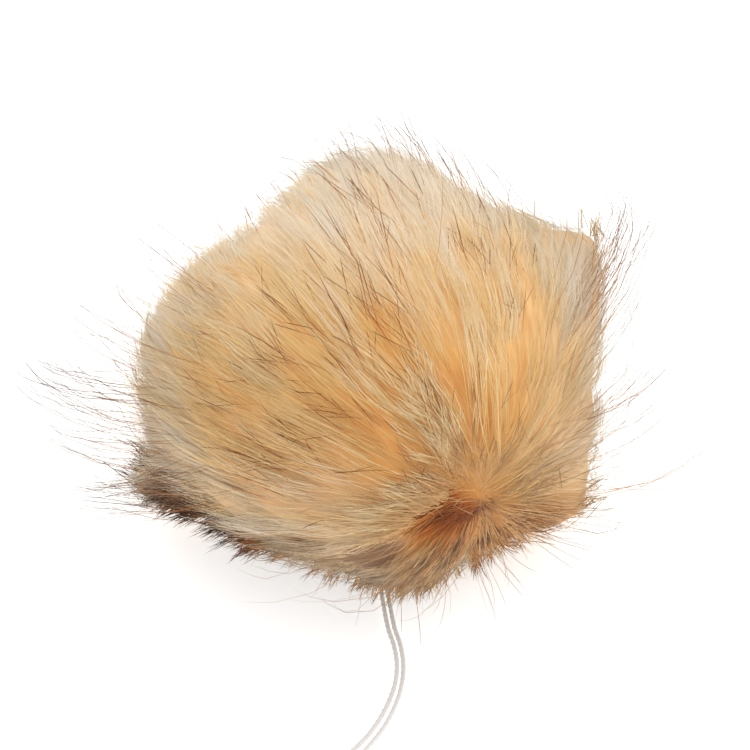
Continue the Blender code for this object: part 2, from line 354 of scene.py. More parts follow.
def smooth_noise(spots, chance):
    """Smooth noise from -1 to 1, one swell to a unit of length."""
    size = 64
    table = chance.uniform(-1.0, 1.0, (size, size, size))
    cell = np.floor(spots).astype(int)
    part = ease(spots - cell)
    value = 0.0
    for corner in np.ndindex(2, 2, 2):
        share = np.prod(np.where(np.array(corner) == 1, part, 1.0 - part), -1)
        x, y, z = np.moveaxis((cell + corner) % size, -1, 0)
        value = value + share * table[x, y, z]
    return value


def sphere_points(count, chance):
    """Evenly spread directions, shaken a little."""
    index = np.arange(count) + 0.5
    height = 1.0 - 2.0 * index / count
    around = index * math.pi * (1.0 + math.sqrt(5.0))
    radius = np.sqrt(1.0 - height ** 2)
    points = np.stack((radius * np.cos(around), radius * np.sin(around), height), 1)
    return unit(points + chance.normal(0.0, 0.9 / math.sqrt(count), points.shape))


def swerve_field(directions):
    """How far the pile swerves from its even lay, in degrees."""
    swerve = np.zeros(len(directions))
    for _name, right, up, amount, spread in SWERVES:
        swerve += amount * nearness(directions, face_direction(right, up), spread)
    return swerve


def strand_paths(directions, turns, swerves, stretch, steps):
    """The line of each strand from the skin to its tip, over the relief: (strands, steps, 3)."""
    axes = turned(unit(np.cross(WHORL, directions)), directions, swerves)
    start = skin_distance(directions)
    paths = []
    for step in steps.T:
        rise = 1.0 - (1.0 - step) ** 1.35
        heading = turned(directions, axes, turns * step ** 1.55)
        reach = np.maximum(pile_distance(heading) * stretch, start * 1.02)
        distance = start + (reach - start) * rise
        paths.append(heading * distance[:, None])
    return np.stack(paths, 1) + BALL_CENTRE


def first_steps(directions, steps, first):
    """Steps for each strand, which start nearer its root the nearer it is to the whorl."""
    near = nearness(directions, WHORL, WHORL_COVER)[:, None]
    share = (steps - steps[0]) / (steps[-1] - steps[0])
    start = steps[0] * (1.0 - near) + first * near
    return start + (1.0 - start) * share[None]


def travel_shares(paths):
    """How far along its strand each point lies, from 0 to 1."""
    lengths = np.linalg.norm(np.diff(paths, axis=1), axis=2)
    travelled = np.concatenate((np.zeros((len(paths), 1)), np.cumsum(lengths, 1)), 1)
    return travelled / travelled[:, -1:]


def tips_of(directions, turns, swerves):
    axes = turned(unit(np.cross(WHORL, directions)), directions, swerves)
    return turned(directions, axes, turns)


def streak_noise(around, apart, columns, rows, chance):
    """Smooth noise from -1 to 1 that runs in streaks away from the whorl."""
    spots = np.stack((np.cos(around) * columns, np.sin(around) * columns, apart * rows), -1)
    return smooth_noise(spots + 500.0, chance)


BATCH = 4000


def nearest_clump(directions, clumps):
    owner = np.empty(len(directions), int)
    for low in range(0, len(directions), BATCH):
        part = directions[low:low + BATCH]
        owner[low:low + BATCH] = np.argmax(part @ clumps.T, 1)
    return owner


def tone_field(directions):
    """Tone of the pile: grey-brown at 0, tan at 0.25, cream at 0.45, apricot at 0.7 and rust at 1; low on
    the ball it turns to the underside's grey-brown, which is partly painted shade.
    """
    total = np.zeros(len(directions))
    weights = np.full(len(directions), 1e-6)
    for _name, right, up, tone, spread in TONES:
        weight = nearness(directions, face_direction(right, up), spread)
        total += tone * weight
        weights += weight
    tones = (total + 0.42e-6) / weights
    low = ease((UNDERSIDE_BELOW + 0.25 - directions[:, 2]) / 0.5)
    return tones * (1.0 - low) + UNDERSIDE_TONE * low


def painted_shade_field(directions):
    """How much shade is painted into the pile's colour, on the underside and in the listed places."""
    painted_shade = UNDERSIDE_PAINTED_SHADE * ease((UNDERSIDE_BELOW + 0.25 - directions[:, 2]) / 0.5)
    for _name, right, up, amount, spread in PAINTED_SHADES:
        painted_shade = np.maximum(painted_shade, amount * nearness(directions, face_direction(right, up), spread))
    return painted_shade


# Mesh of many strands

TONE_AROUND = 0.012
ROOT_LIFT = 0.01
MAP_ENDS = (0.004, 0.996)


def strand_mesh(name, paths, radii, tones, lights, spins, leans, material):
    """Joins tapered three-sided strands into one mesh. Their map is tone across and, upward, painted shade
    to light.
    """
    count, rings, _ = paths.shape
    tangents = unit(np.gradient(paths, axis=1))
    outward = unit(paths - BALL_CENTRE)
    sides = unit(np.cross(tangents, outward) + 1e-9)
    lifts = np.cross(sides, tangents)
    facing = outward * NORMAL_SHARE + leans[:, None] * LEAN_SHARE
    corners = []
    normals = []
    for side in range(3):
        angle = (spins + side * math.tau / 3.0)[:, None, None]
        around = np.cos(angle) * sides + np.sin(angle) * lifts
        corners.append(paths + radii[:, :, None] * around)
        normals.append(facing + around * (1.0 - NORMAL_SHARE))
    tube = np.stack(corners, 2)[:, :-1]
    tube = tube.reshape(count, (rings - 1) * 3, 3)
    points = np.concatenate((tube, paths[:, -1:]), 1)
    round_normals = np.stack(normals, 2)[:, :-1].reshape(count, (rings - 1) * 3, 3)
    soft_normals = unit(np.concatenate((round_normals, facing[:, -1:]), 1))
    per_strand = (rings - 1) * 3 + 1
    quads = []
    quad_rise = []
    quad_side = []
    for ring in range(rings - 2):
        for side in range(3):
            a = ring * 3 + side
            b = ring * 3 + (side + 1) % 3
            quads.append((b, a, a + 3, b + 3))
            quad_rise.append((ring, ring, ring + 1, ring + 1))
            quad_side.append((1, 0, 0, 1))
    last = (rings - 2) * 3
    tip = per_strand - 1
    tris = [(last + (side + 1) % 3, last + side, tip) for side in range(3)] + [(0, 1, 2)]
    tri_rise = [(rings - 2, rings - 2, rings - 1)] * 3 + [(0, 0, 0)]
    tri_side = [(1, 0, 0.5)] * 3 + [(0, 1, 0.5)]
    corner_of = np.array([c for quad in quads for c in quad] + [c for tri in tris for c in tri])
    rise_of = np.array([r for quad in quad_rise for r in quad] + [r for tri in tri_rise for r in tri])
    side_of = np.array([s for quad in quad_side for s in quad] + [s for tri in tri_side for s in tri])
    totals = np.array([4] * len(quads) + [3] * len(tris))
    loops = (corner_of[None] + (np.arange(count) * per_strand)[:, None]).ravel()
    face_totals = np.tile(totals, count)
    starts = np.concatenate(([0], np.cumsum(face_totals)[:-1]))
    mesh = bpy.data.meshes.new(name)
    mesh.vertices.add(count * per_strand)
    mesh.vertices.foreach_set("co", points.astype(np.float32).ravel())
    mesh.loops.add(len(loops))
    mesh.loops.foreach_set("vertex_index", loops.astype(np.int32))
    mesh.polygons.add(len(face_totals))
    mesh.polygons.foreach_set("loop_start", starts.astype(np.int32))
    mesh.polygons.foreach_set("use_smooth", np.ones(len(face_totals), bool))
    chart = mesh.uv_layers.new(name="OFBake")
    across = tones[:, rise_of] + (side_of[None] - 0.5) * TONE_AROUND
    root_lift = np.where(np.arange(len(rise_of)) >= len(rise_of) - 1, ROOT_LIFT, 0.0)
    along = lights[:, rise_of] + root_lift[None]
    places = np.clip(np.stack((across, along), 2), *MAP_ENDS)
    chart.data.foreach_set("uv", places.astype(np.float32).ravel())
    mesh.materials.append(material)
    mesh.update(calc_edges=True)
    mesh.normals_split_custom_set_from_vertices(soft_normals.reshape(-1, 3).astype(np.float32))
    piece = bpy.data.objects.new(name, mesh)
    bpy.context.scene.collection.objects.link(piece)
    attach(piece, "root")
    return piece


# Materials

def new_group(name, inputs, outputs):
    group = bpy.data.node_groups.new(name, "ShaderNodeTree")
    for label, kind, value in inputs:
        socket = group.interface.new_socket(label, in_out="INPUT", socket_type=kind)
        socket.default_value = value
    for label, kind in outputs:
        group.interface.new_socket(label, in_out="OUTPUT", socket_type=kind)
    return group, group.nodes.new("NodeGroupInput"), group.nodes.new("NodeGroupOutput")


FLOAT = "NodeSocketFloat"
COLOUR = "NodeSocketColor"


def math_node(tree, operation, first, second):
    node = tree.nodes.new("ShaderNodeMath")
    node.operation = operation
    for socket, value in zip(node.inputs, (first, second)):
        if isinstance(value, (int, float)):
            socket.default_value = value
        else:
            tree.links.new(value, socket)
    return node.outputs[0]


def mix_node(tree, share, first, second):
    node = tree.nodes.new("ShaderNodeMix")
    node.data_type = "RGBA"
    for socket, value in ((node.inputs[0], share), (node.inputs[6], first), (node.inputs[7], second)):
        if isinstance(value, (int, float)):
            socket.default_value = value
        elif isinstance(value, tuple):
            socket.default_value = (*value, 1.0)
        else:
            tree.links.new(value, socket)
    return node.outputs[2]


def ramp_node(tree, value, low, high):
    """0 below low and 1 above high, with a smooth rise between."""
    node = tree.nodes.new("ShaderNodeMapRange")
    node.interpolation_type = "SMOOTHSTEP"
    for label, end in (("From Min", low), ("From Max", high)):
        if isinstance(end, float):
            node.inputs[label].default_value = end
        else:
            tree.links.new(end, node.inputs[label])
    tree.links.new(value, node.inputs["Value"])
    return node.outputs[0]


def make_hair_colour_group():
    """Colour of a hair from its painted shade through root and body to its pale tip, with fine flecks."""
    group, inside, outside = new_group(
        "hair_colour",
        [
            ("Tone", FLOAT, 0.5),
            ("Light", FLOAT, 0.5),
            ("Shade", COLOUR, (0, 0, 0, 1)),
            ("Root", COLOUR, (1, 1, 1, 1)),
            ("Body", COLOUR, (1, 1, 1, 1)),
            ("Tip", COLOUR, (1, 1, 1, 1)),
            ("Root Ends", FLOAT, 0.5),
            ("Tip Starts", FLOAT, 0.75),
            ("Fleck", FLOAT, 0.2),
        ],
        [("Colour", COLOUR), ("Fleck Value", FLOAT)],
    )
    put = inside.outputs
    colour = put["Shade"]
    for label, start, end in (
        ("Root", 0.02, 0.30),
        ("Body", 0.30, put["Root Ends"]),
        ("Tip", put["Tip Starts"], 1.0),
    ):
        share = ramp_node(group, put["Light"], start, end)
        colour = mix_node(group, share, colour, put[label])
    place = group.nodes.new("ShaderNodeCombineXYZ")
    group.links.new(math_node(group, "MULTIPLY", put["Tone"], 60.0), place.inputs[0])
    group.links.new(math_node(group, "MULTIPLY", put["Light"], 3.0), place.inputs[1])
    noise = group.nodes.new("ShaderNodeTexNoise")
    noise.inputs["Scale"].default_value = 1.0
    noise.inputs["Detail"].default_value = 3.0
    group.links.new(place.outputs[0], noise.inputs["Vector"])
    lift = math_node(group, "SUBTRACT", noise.outputs["Fac"], 0.5)
    lift = math_node(group, "MULTIPLY", lift, put["Fleck"])
    shade = math_node(group, "ADD", lift, 1.0)
    tint = group.nodes.new("ShaderNodeVectorMath")
    tint.operation = "SCALE"
    group.links.new(colour, tint.inputs[0])
    group.links.new(shade, tint.inputs["Scale"])
    group.links.new(tint.outputs[0], outside.inputs["Colour"])
    group.links.new(noise.outputs["Fac"], outside.inputs["Fleck Value"])
    return group


def colour_ramp(tree, value, stops):
    node = tree.nodes.new("ShaderNodeValToRGB")
    elements = node.color_ramp.elements
    while len(elements) < len(stops):
        elements.new(0.5)
    for element, (place, colour) in zip(elements, stops):
        element.position = place
        element.color = (*linear(*colour), 1.0)
    tree.links.new(value, node.inputs[0])
    return node.outputs[0]


def set_roughness(tree, shader, hair, least):
    """Roughness that varies with the flecks of the hair."""
    rough = math_node(tree, "MULTIPLY_ADD", hair.outputs["Fleck Value"], 0.2)
    rough.node.inputs[2].default_value = least
    tree.links.new(rough, shader.inputs["Roughness"])


def hair_material(name, group, palette, root_ends, tip_starts, fleck, roughness, sheen):
    """palette has a row for each tone: its place, then the colours of painted shade, root, body and tip."""
    material = bpy.data.materials.new(name)
    material.use_nodes = True
    tree = material.node_tree
    shader = tree.nodes["Principled BSDF"]
    chart = tree.nodes.new("ShaderNodeUVMap")
    chart.uv_map = "OFBake"
    split = tree.nodes.new("ShaderNodeSeparateXYZ")
    tree.links.new(chart.outputs[0], split.inputs[0])
    hair = tree.nodes.new("ShaderNodeGroup")
    hair.node_tree = group
    tree.links.new(split.outputs[0], hair.inputs["Tone"])
    tree.links.new(split.outputs[1], hair.inputs["Light"])
    for column, label in enumerate(("Shade", "Root", "Body", "Tip"), 1):
        stops = [(row[0], row[column]) for row in palette]
        tree.links.new(colour_ramp(tree, split.outputs[0], stops), hair.inputs[label])
    hair.inputs["Root Ends"].default_value = root_ends
    hair.inputs["Tip Starts"].default_value = tip_starts
    hair.inputs["Fleck"].default_value = fleck
    tree.links.new(hair.outputs["Colour"], shader.inputs["Base Color"])
    set_roughness(tree, shader, hair, roughness - 0.1)
    shader.inputs["Sheen Weight"].default_value = sheen
    shader.inputs["Sheen Roughness"].default_value = 0.5
    shader.inputs["Specular IOR Level"].default_value = 0.12
    return material


# Ties

def smooth_route(route, spacing):
    """Even points along a smooth curve through the route's own points."""
    knots = np.array(route)
    knots = np.vstack((2.0 * knots[0] - knots[1], knots, 2.0 * knots[-1] - knots[-2]))
    fine = []
    for before, start, end, after in zip(knots, knots[1:], knots[2:], knots[3:]):
        for t in np.arange(ROUTE_PARTS) / ROUTE_PARTS:
            fine.append(
                0.5 * (2.0 * start + (end - before) * t
                       + (2.0 * before - 5.0 * start + 4.0 * end - after) * t ** 2
                       + (3.0 * start - before - 3.0 * end + after) * t ** 3)
            )
    fine.append(knots[-2])
    fine = np.array(fine)
    travelled = np.concatenate(([0.0], np.cumsum(np.linalg.norm(np.diff(fine, axis=0), axis=1))))
    count = round(travelled[-1] / spacing)
    even = np.linspace(0.0, travelled[-1], count + 1)
    return np.stack([np.interp(even, travelled, fine[:, axis]) for axis in range(3)], 1)


def make_tie(name, route, start_angle, material):
    path = smooth_route(route, TIE_STEP)
    length = np.linalg.norm(np.diff(path, axis=0), axis=1).sum()
    travelled = np.arange(len(path)) * length / (len(path) - 1)
    tangents = unit(np.gradient(path, axis=0))
    sides = unit(np.cross(tangents, (0.0, 0.0, 1.0)))
    lifts = np.cross(sides, tangents)
    points = []
    faces = []
    for ply in range(TIE_PLIES):
        turn = start_angle + math.tau * (travelled / TWIST_PITCH + ply / TIE_PLIES)
        middle = path + PLY_OFFSET * (np.cos(turn)[:, None] * sides + np.sin(turn)[:, None] * lifts)
        taper = np.full(len(path), PLY_RADIUS)
        taper[[0, -1]] *= PLY_END_SHARE
        first = len(points)
        for ring in range(len(path)):
            for side in range(PLY_SIDES):
                angle = math.tau * side / PLY_SIDES
                around = math.cos(angle) * sides[ring] + math.sin(angle) * lifts[ring]
                points.append(middle[ring] + taper[ring] * around)
        for ring in range(len(path) - 1):
            for side in range(PLY_SIDES):
                a = first + ring * PLY_SIDES + side
                b = first + ring * PLY_SIDES + (side + 1) % PLY_SIDES
                faces.append((b, a, a + PLY_SIDES, b + PLY_SIDES))
        last = first + (len(path) - 1) * PLY_SIDES
        faces.append(tuple(first + side for side in range(PLY_SIDES)))
        faces.append(tuple(last + side for side in reversed(range(PLY_SIDES))))
    mesh = bpy.data.meshes.new(name)
    mesh.from_pydata([tuple(p) for p in points], [], faces)
    mesh.shade_smooth()
    mesh.materials.append(material)
    tie = bpy.data.objects.new(name, mesh)
    bpy.context.scene.collection.objects.link(tie)
    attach(tie, "root")
    return tie


def cotton_material():
    material = bpy.data.materials.new("cotton_ply")
    material.use_nodes = True
    tree = material.node_tree
    shader = tree.nodes["Principled BSDF"]
    place = tree.nodes.new("ShaderNodeTexCoord")
    noise = tree.nodes.new("ShaderNodeTexNoise")
    noise.inputs["Scale"].default_value = 1800.0
    noise.inputs["Detail"].default_value = 4.0
    tree.links.new(place.outputs["Object"], noise.inputs["Vector"])
    colour = mix_node(tree, noise.outputs["Fac"], linear(236, 232, 226), linear(254, 252, 249))
    tree.links.new(colour, shader.inputs["Base Color"])
    shader.inputs["Roughness"].default_value = 0.9
    shader.inputs["Sheen Weight"].default_value = 0.3
    bump = tree.nodes.new("ShaderNodeBump")
    bump.inputs["Strength"].default_value = 0.6
    bump.inputs["Distance"].default_value = 0.0001
    tree.links.new(noise.outputs["Fac"], bump.inputs["Height"])
    tree.links.new(bump.outputs[0], shader.inputs["Normal"])
    return material


# Pile

PILE_STRANDS = 46000
PILE_CLUMPS = 2200
PILE_STEPS = np.array((0.34, 0.58, 0.82, 1.0))
PILE_WIDTHS = np.array((1.0, 1.0, 0.75, 0.0))
PILE_STRAND_RADIUS = 0.00011
PILE_SHARE = 0.905
FLYAWAY_SHARE = 0.16  # of the strands are fine and stand out of the pile
FLYAWAY_STRETCH = 0.085
ROOT_LIGHT = 0.36
NORMAL_SHARE = 0.80
LEAN_SHARE = 0.10
PIECE_AXES = {
    "pile_front": (0.15, -0.95, 0.20),
    "pile_left": (-1.0, -0.25, 0.10),
    "pile_right": (1.0, 0.05, 0.15),
    "pile_top": (0.0, -0.05, 1.0),
    "pile_back": (0.40, 1.0, 0.10),
    "pile_back_left": (-0.75, 0.80, 0.10),
}


class Clumps:
    """Wisps of pile that lie together: each has its own lay, length, tone and light, and wisps pressed
    lower are painted darker as shade.
    """

    def __init__(self, count, chance):
        self.roots = sphere_points(count, chance)
        self.steps = first_steps(self.roots, PILE_STEPS, 0.02)
        swirl = smooth_noise(self.roots * 3.2 + 40.0, chance)
        press = smooth_noise(self.roots * 4.0 + 60.0, chance)
        self.even_turns = comb_angles(self.roots)
        self.turns = self.even_turns * (1.0 + 0.12 * press + chance.normal(0.0, 0.15, count))
        even_tips = tips_of(self.roots, self.turns, np.zeros(count))
        swerves = 15.0 * swirl + swerve_field(even_tips) + chance.normal(0.0, 10.0, count)
        self.swerves = np.radians(swerves)
        self.stretch = 0.012 * press + chance.normal(0.0, 0.016, count)
        self.tips = tips_of(self.roots, self.turns, self.swerves)
        share = PILE_SHARE + self.stretch
        self.paths = strand_paths(self.roots, self.turns, self.swerves, share, self.steps)
        rim = ease((-0.30 - self.tips[:, 2]) / 0.25)
        self.pull = chance.uniform(0.30, 0.85, count) * (1.0 - rim) + 0.93 * rim
        self.tone = 0.055 * smooth_noise(self.roots * 6.0 + 80.0, chance) + chance.normal(0.0, 0.030, count)
        # Wisps pressed lower, which are also shorter, are painted darker as shade, with random tone on top
        self.light = 0.06 * press + chance.normal(0.0, 0.045, count)
        self.leans = chance.normal(0.0, 1.0, (count, 3))


def grow_pile(material):
    chance = np.random.default_rng(7)
    count = PILE_STRANDS
    roots = sphere_points(count, chance)
    clumps = Clumps(PILE_CLUMPS, chance)
    owner = nearest_clump(roots, clumps.roots)
    steps = clumps.steps[owner]
    turns = comb_angles(roots) * (1.0 + chance.normal(0.0, 0.07, count))
    turns += (clumps.turns - clumps.even_turns)[owner]
    swerves = clumps.swerves[owner] + np.radians(chance.normal(0.0, 5.0, count))
    hollow = face_direction(*HOLLOW)
    passing = np.zeros(count)
    for share in (0.35, 0.7, 1.0):
        near = nearness(tips_of(roots, turns * share, swerves), hollow, HOLLOW_WIDTH * 0.6)
        passing = np.maximum(passing, near)
    turns *= 1.0 - 0.8 * passing
    tips = tips_of(roots, turns, swerves)
    flyaway = chance.random(count) < FLYAWAY_SHARE
    length = chance.normal(0.0, 0.020, count)
    stretch = PILE_SHARE + clumps.stretch[owner] + length
    stretch += np.where(flyaway, chance.uniform(0.0, FLYAWAY_STRETCH, count), 0.0) * (1.0 - passing)
    paths = strand_paths(roots, turns, swerves, stretch, steps)
    held = np.where(flyaway, 0.45, 1.0)
    pull = ((clumps.pull[owner] * held)[:, None] * steps ** 2)[:, :, None]
    paths = paths * (1.0 - pull) + clumps.paths[owner] * pull
    loose = np.where(flyaway, 0.0020, 0.0008)[:, None, None]
    paths += chance.normal(0.0, 1.0, (count, 1, 3)) * loose * steps[:, :, None] ** 2
    radii = PILE_STRAND_RADIUS * PILE_WIDTHS[None] * chance.uniform(0.6, 1.3, (count, 1))
    radii *= np.where(flyaway, 0.6, 1.0)[:, None]
    paths[:, :, 2] = press_on_floor(paths[:, :, 2]) + radii.max()
    headings = unit(paths - BALL_CENTRE)
    rings = range(len(PILE_STEPS))
    shifts = clumps.tone[owner] + chance.normal(0.0, 0.02, count)
    tones = np.stack([tone_field(headings[:, ring]) for ring in rings], 1) + shifts[:, None]
    painted_shade = np.stack([painted_shade_field(headings[:, ring]) for ring in rings], 1)
    # Shorter strands and lower wisps are painted darker, as shade, on top of random tone; below, each
    # strand's light also loses the painted shade of its place
    lift = clumps.light[owner] + 1.5 * length + chance.normal(0.0, 0.025, count)
    lights = ROOT_LIGHT + (0.98 - ROOT_LIGHT) * travel_shares(paths) + lift[:, None] - painted_shade
    spins = chance.uniform(0.0, math.tau, count)
    axes = unit(np.array(list(PIECE_AXES.values())))
    home = np.argmax(tips @ axes.T, 1)
    for index, name in enumerate(PIECE_AXES):
        mine = home == index
        piece = strand_mesh(name, paths[mine], radii[mine], np.clip(tones[mine], 0.01, 0.99), lights[mine],
                            spins[mine], clumps.leans[owner[mine]], material)
        piece.visible_shadow = False
        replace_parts(piece, "pompom")


GUARD_STEPS = np.array((0.30, 0.50, 0.68, 0.82, 0.92, 1.0))
GUARD_WIDTHS = np.array((0.7, 1.0, 1.0, 0.85, 0.5, 0.0))
GUARD_RADIUS = 0.000065
GUARD_ROOTS = 24000
GUARD_SWERVE = 12.0
GUARD_SHAKE = 0.0022
# How far the hairs may reach to the low and the high side
GUARD_ROOM = np.array(((0.098, 0.118, 0.200), (0.098, 0.082, 0.112)))
GUARD_GROUPS = (
    # name, right, up, spread, hairs, shortest, longest, tone, gathered
    ("left above", -0.95, 0.32, 10.0, 24, 1.02, 1.28, 0.50, 0.1),
    ("left tuft", -1.05, -0.02, 4.0, 30, 1.20, 1.50, 0.85, 0.7),
    ("left tuft below", -1.05, -0.18, 3.5, 16, 1.15, 1.42, 0.70, 0.7),
    ("left", -1.00, 0.10, 14.0, 36, 1.03, 1.36, 0.50, 0.1),
    ("left below", -1.00, -0.34, 8.0, 12, 1.00, 1.25, 0.45, 0.1),
    ("fringe end", -1.02, -0.46, 3.0, 26, 1.10, 1.30, 0.90, 0.7),
    ("crest tuft", 0.04, 0.95, 4.0, 20, 1.00, 1.14, 0.80, 0.4),
    ("crest left", -0.35, 0.90, 9.0, 30, 0.98, 1.10, 0.60, 0.0),
    ("crest right", 0.25, 0.95, 10.0, 28, 0.98, 1.08, 0.50, 0.0),
    ("corner", 0.96, 0.58, 5.0, 44, 1.00, 1.16, 0.50, 0.2),
    ("corner tuft", 0.92, 0.72, 3.0, 16, 1.02, 1.16, 0.60, 0.5),
    ("right above", 0.98, 0.30, 9.0, 22, 0.98, 1.14, 0.50, 0.0),
    ("right", 1.02, -0.02, 4.0, 16, 1.02, 1.26, 0.50, 0.4),
    ("right under", 1.00, -0.20, 8.0, 12, 0.98, 1.16, 0.40, 0.0),
    ("right long", 1.02, -0.26, 4.0, 10, 1.28, 1.50, 0.40, 0.3),
    ("right below", 0.98, -0.60, 6.0, 20, 0.98, 1.12, 0.60, 0.1),
    ("bottom right", 0.70, -0.88, 9.0, 18, 1.00, 1.16, 0.45, 0.0),
    ("bottom", 0.30, -1.00, 9.0, 12, 1.00, 1.14, 0.30, 0.0),
    ("bottom left", -0.40, -0.95, 12.0, 16, 1.00, 1.14, 0.30, 0.0),
    ("back left", -0.75, 1.60, 26.0, 90, 0.94, 1.12, 0.65, 0.0),
    ("back right", 0.75, 1.60, 26.0, 90, 0.94, 1.12, 0.65, 0.0),
)

# Shorter hairs that stand out of the pile one by one or in small spikes
SPIKE_STEPS = np.array((0.0, 0.4, 0.75, 1.0))
SPIKE_WIDTHS = np.array((0.8, 1.0, 0.8, 0.0))
SPIKE_RADIUS = 0.000115
SPIKE_ROOT = 0.875  # share of the pile's own reach
SPIKE_SWERVE = 13.0
SPIKE_FEET_APART = (0.0020, 0.0011)  # in a bunch of up to three hairs and in a fuller one
SPIKES = (
    # name, right, up, spread, spikes, hairs in each, shortest, longest, lift in degrees, tone
    ("left", -0.60, 0.00, 14.0, 16, 2, 0.007, 0.014, 16.0, 0.50),
    ("left of the middle", -0.24, 0.02, 10.0, 18, 2, 0.008, 0.017, 16.0, 0.65),
    ("above the middle", 0.02, 0.30, 10.0, 17, 2, 0.010, 0.020, 14.0, 0.70),
    ("crest", 0.10, 0.56, 6.0, 9, 2, 0.015, 0.024, 12.0, 0.65),
    ("middle", 0.06, -0.08, 11.0, 24, 2, 0.009, 0.018, 14.0, 0.65),
    ("under the left", -0.34, -0.34, 12.0, 22, 2, 0.007, 0.015, 14.0, 0.60),
    ("above the whorl", 0.34, -0.30, 6.0, 12, 2, 0.006, 0.012, 10.0, 0.55),
    ("right", 0.65, 0.00, 16.0, 10, 2, 0.006, 0.012, 14.0, 0.40),
    ("upper right", 0.50, 0.42, 9.0, 14, 2, 0.007, 0.014, 16.0, 0.55),
    ("ridge", 0.44, -0.40, 4.0, 10, 3, 0.005, 0.010, 8.0, 0.40),
    ("ridge to the left", 0.28, -0.46, 5.0, 16, 3, 0.008, 0.014, 8.0, 0.45),
    ("lip", 0.31, -0.55, 2.5, 40, 5, 0.010, 0.016, 10.0, 0.02),
    ("lip left", 0.16, -0.60, 3.5, 44, 5, 0.010, 0.017, 8.0, 0.03),
    ("pale ridge", 0.28, -0.22, 3.5, 34, 5, 0.010, 0.016, 8.0, 0.02),
    ("pale ridge start", 0.37, -0.35, 2.5, 26, 5, 0.009, 0.014, 8.0, 0.02),
    ("right of the hollow", 0.62, -0.58, 7.0, 34, 3, 0.006, 0.012, 10.0, 0.24),
    ("under the hollow", 0.22, -0.82, 7.0, 30, 4, 0.006, 0.011, 16.0, 0.28),
    ("upper right corner", 0.97, 0.54, 2.5, 6, 5, 0.006, 0.010, 24.0, 0.03),
    ("lower right corner", 0.98, -0.62, 2.5, 7, 5, 0.005, 0.009, 24.0, 0.20),
    ("fringe start", -0.93, -0.51, 2.0, 18, 8, 0.016, 0.022, 16.0, 0.95),
    ("fringe", -0.84, -0.55, 3.0, 26, 7, 0.009, 0.015, 32.0, 0.95),
    ("fringe middle", -0.72, -0.62, 4.0, 40, 7, 0.008, 0.014, 40.0, 0.95),
    ("fringe after", -0.59, -0.69, 4.0, 36, 7, 0.007, 0.012, 42.0, 0.92),
    ("fringe fading", -0.45, -0.76, 4.5, 26, 6, 0.006, 0.010, 42.0, 0.72),
    ("bottom left edge", -0.28, -0.86, 6.0, 24, 5, 0.004, 0.009, 44.0, 0.45),
    ("bottom edge", -0.04, -0.93, 7.0, 26, 5, 0.003, 0.007, 40.0, 0.35),
    ("bottom tuft", 0.22, -0.98, 6.0, 22, 5, 0.003, 0.006, 36.0, 0.30),
    ("lower right edge", 0.60, -0.82, 8.0, 30, 5, 0.004, 0.009, 40.0, 0.50),
    ("back", 0.0, 1.5, 40.0, 90, 2, 0.007, 0.015, 18.0, 0.65),
)


def guard_paths(chance):
    """Long hairs rooted in the skin, most of them past the outline of the pile."""
    roots = sphere_points(GUARD_ROOTS, chance)
    roots = roots[roots[:, 2] > -0.6]
    turns = comb_angles(roots) * (1.0 + chance.normal(0.0, 0.18, len(roots)))
    even_tips = tips_of(roots, turns, 0.0 * turns)
    swerves = np.radians(chance.normal(0.0, GUARD_SWERVE, len(roots)) + swerve_field(even_tips))
    tips = tips_of(roots, turns, swerves)
    clear = BALL_CENTRE[2] + 1.15 * tips[:, 2] * pile_distance(tips) > 0.003
    roots, turns, swerves, tips = roots[clear], turns[clear], swerves[clear], tips[clear]
    paths = []
    tones = []
    for _name, right, up, spread, hairs, shortest, longest, tone, gathered in GUARD_GROUPS:
        weight = nearness(tips, guard_direction(right, up), spread)
        chosen = chance.choice(len(roots), hairs, replace=False, p=weight / weight.sum())
        stretch = chance.uniform(shortest, longest, hairs)
        heading = tips[chosen]
        room = np.where(heading < 0.0, GUARD_ROOM[0] + BALL_CENTRE, GUARD_ROOM[1] - BALL_CENTRE)
        limit = (room / np.maximum(np.abs(heading), 0.01)).min(1)
        stretch = np.minimum(stretch, limit / pile_distance(heading))
        steps = first_steps(roots[chosen], GUARD_STEPS, 0.25)
        group = strand_paths(roots[chosen], turns[chosen], swerves[chosen], stretch, steps)
        share = (gathered * GUARD_STEPS ** 1.5)[None, :, None]
        group = group * (1.0 - share) + group.mean(0, keepdims=True) * share
        paths.append(group)
        tones.append(chance.normal(tone, 0.14, hairs))
    paths = np.concatenate(paths)
    paths += chance.normal(0.0, GUARD_SHAKE, (len(paths), 1, 3)) * (GUARD_STEPS ** 2)[None, :, None]
    return paths, np.concatenate(tones)


